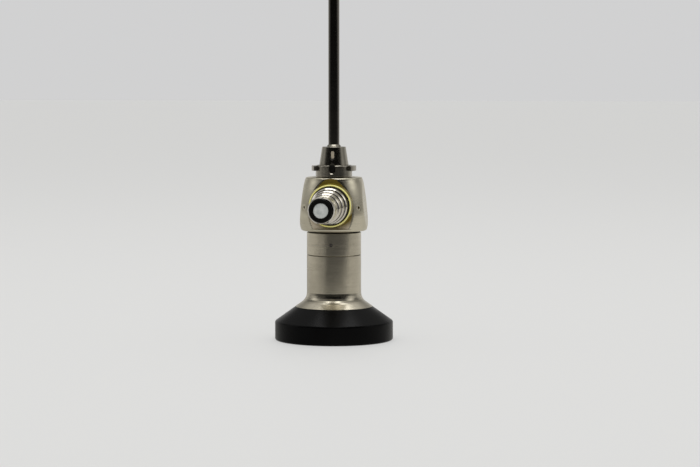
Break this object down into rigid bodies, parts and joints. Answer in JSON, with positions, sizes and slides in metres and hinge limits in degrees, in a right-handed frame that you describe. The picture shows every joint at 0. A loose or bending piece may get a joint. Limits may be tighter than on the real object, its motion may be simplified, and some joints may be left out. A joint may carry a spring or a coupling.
{
  "type": "rigid endoscope",
  "caption": "Slim rigid rod-lens endoscope with a side light post, bayonet sheath lock and round black eyepiece, standing on its eyepiece.",
  "frame": {"origin": "centre of the eyepiece window's outer face, on the optical axis; the rim that the scope stands on is 5.5 mm below it", "axes": "+Z along the optical axis towards the tip; -Y along the light post, outwards; +X to the right seen from the post's side"},
  "size_m": [0.032, 0.0455, 0.1923],
  "materials": {
    "satin_steel": "satin, fine turning marks",
    "polished_steel": "polished",
    "black_plastic": "satin black",
    "yellow_ring": "glossy yellow",
    "rubber": "matt black",
    "optical_glass": "polished, coated",
    "glass_fibre": "polished fibre ends, pale grey",
    "blackened_metal": "black anodised"
  },
  "bodies": {
    "scope": {"ocular_body": "satin_steel", "marking_sleeve": "satin_steel", "light_housing": "satin_steel", "grub_screw_left": "satin_steel", "grub_screw_right": "satin_steel", "bayonet_collar": "satin_steel", "sheath_cone": "satin_steel", "shaft_tube": "satin_steel", "optical_tube": "satin_steel", "distal_tip": "satin_steel", "window_frame": "satin_steel", "light_post": "polished_steel", "eyepiece_cup": "black_plastic", "inlet_ring": "black_plastic", "colour_ring": "yellow_ring", "window_seal": "rubber", "sleeve_seal": "rubber", "eyepiece_window": "optical_glass", "ocular_lens_rear": "optical_glass", "ocular_lens_front": "optical_glass", "distal_window": "optical_glass", "deflection_prism": "optical_glass", "objective_lens": "optical_glass", "rod_lens_1": "optical_glass", "rod_lens_2": "optical_glass", "rod_lens_3": "optical_glass", "rod_lens_4": "optical_glass", "rod_lens_5": "optical_glass", "rod_lens_6": "optical_glass", "inlet_glass": "glass_fibre", "light_guide_core": "glass_fibre", "fibre_bundle": "glass_fibre", "shaft_fibres": "glass_fibre", "fibre_outlet": "glass_fibre", "lens_barrel": "blackened_metal", "lens_lock_ring": "blackened_metal", "lens_spacer": "blackened_metal", "field_stop": "blackened_metal", "centring_bush": "blackened_metal", "rod_spacer_1": "blackened_metal", "rod_spacer_2": "blackened_metal", "rod_spacer_3": "blackened_metal", "rod_spacer_4": "blackened_metal", "rod_spacer_5": "blackened_metal"},
    "inner_travel": {"inner_adapter_seal": "rubber"},
    "inner_sleeve": {"inner_adapter": "polished_steel"},
    "outer_travel": {"outer_adapter_seal": "rubber"},
    "outer_sleeve": {"outer_adapter": "polished_steel"}
  },
  "joints": [
    {"name": "inner_advance", "type": "slide", "parent": "scope", "child": "inner_travel", "axis": [0, -1, 0], "range_m": [0, 0.00375]},
    {"name": "inner_unscrew", "type": "hinge", "parent": "inner_travel", "child": "inner_sleeve", "pos_m": [0, -0.012, 0.0313], "axis": [0, -1, 0], "range_deg": [0, 1800]},
    {"name": "outer_advance", "type": "slide", "parent": "inner_sleeve", "child": "outer_travel", "axis": [0, -1, 0], "range_m": [0, 0.002]},
    {"name": "outer_unscrew", "type": "hinge", "parent": "outer_travel", "child": "outer_sleeve", "pos_m": [0, -0.02, 0.0313], "axis": [0, -1, 0], "range_deg": [0, 1440]}
  ],
  "couplings": [
    {"joint": "inner_unscrew", "follows": "inner_advance", "rad_per_m": 8377.6},
    {"joint": "outer_unscrew", "follows": "outer_advance", "rad_per_m": 12566}
  ]
}
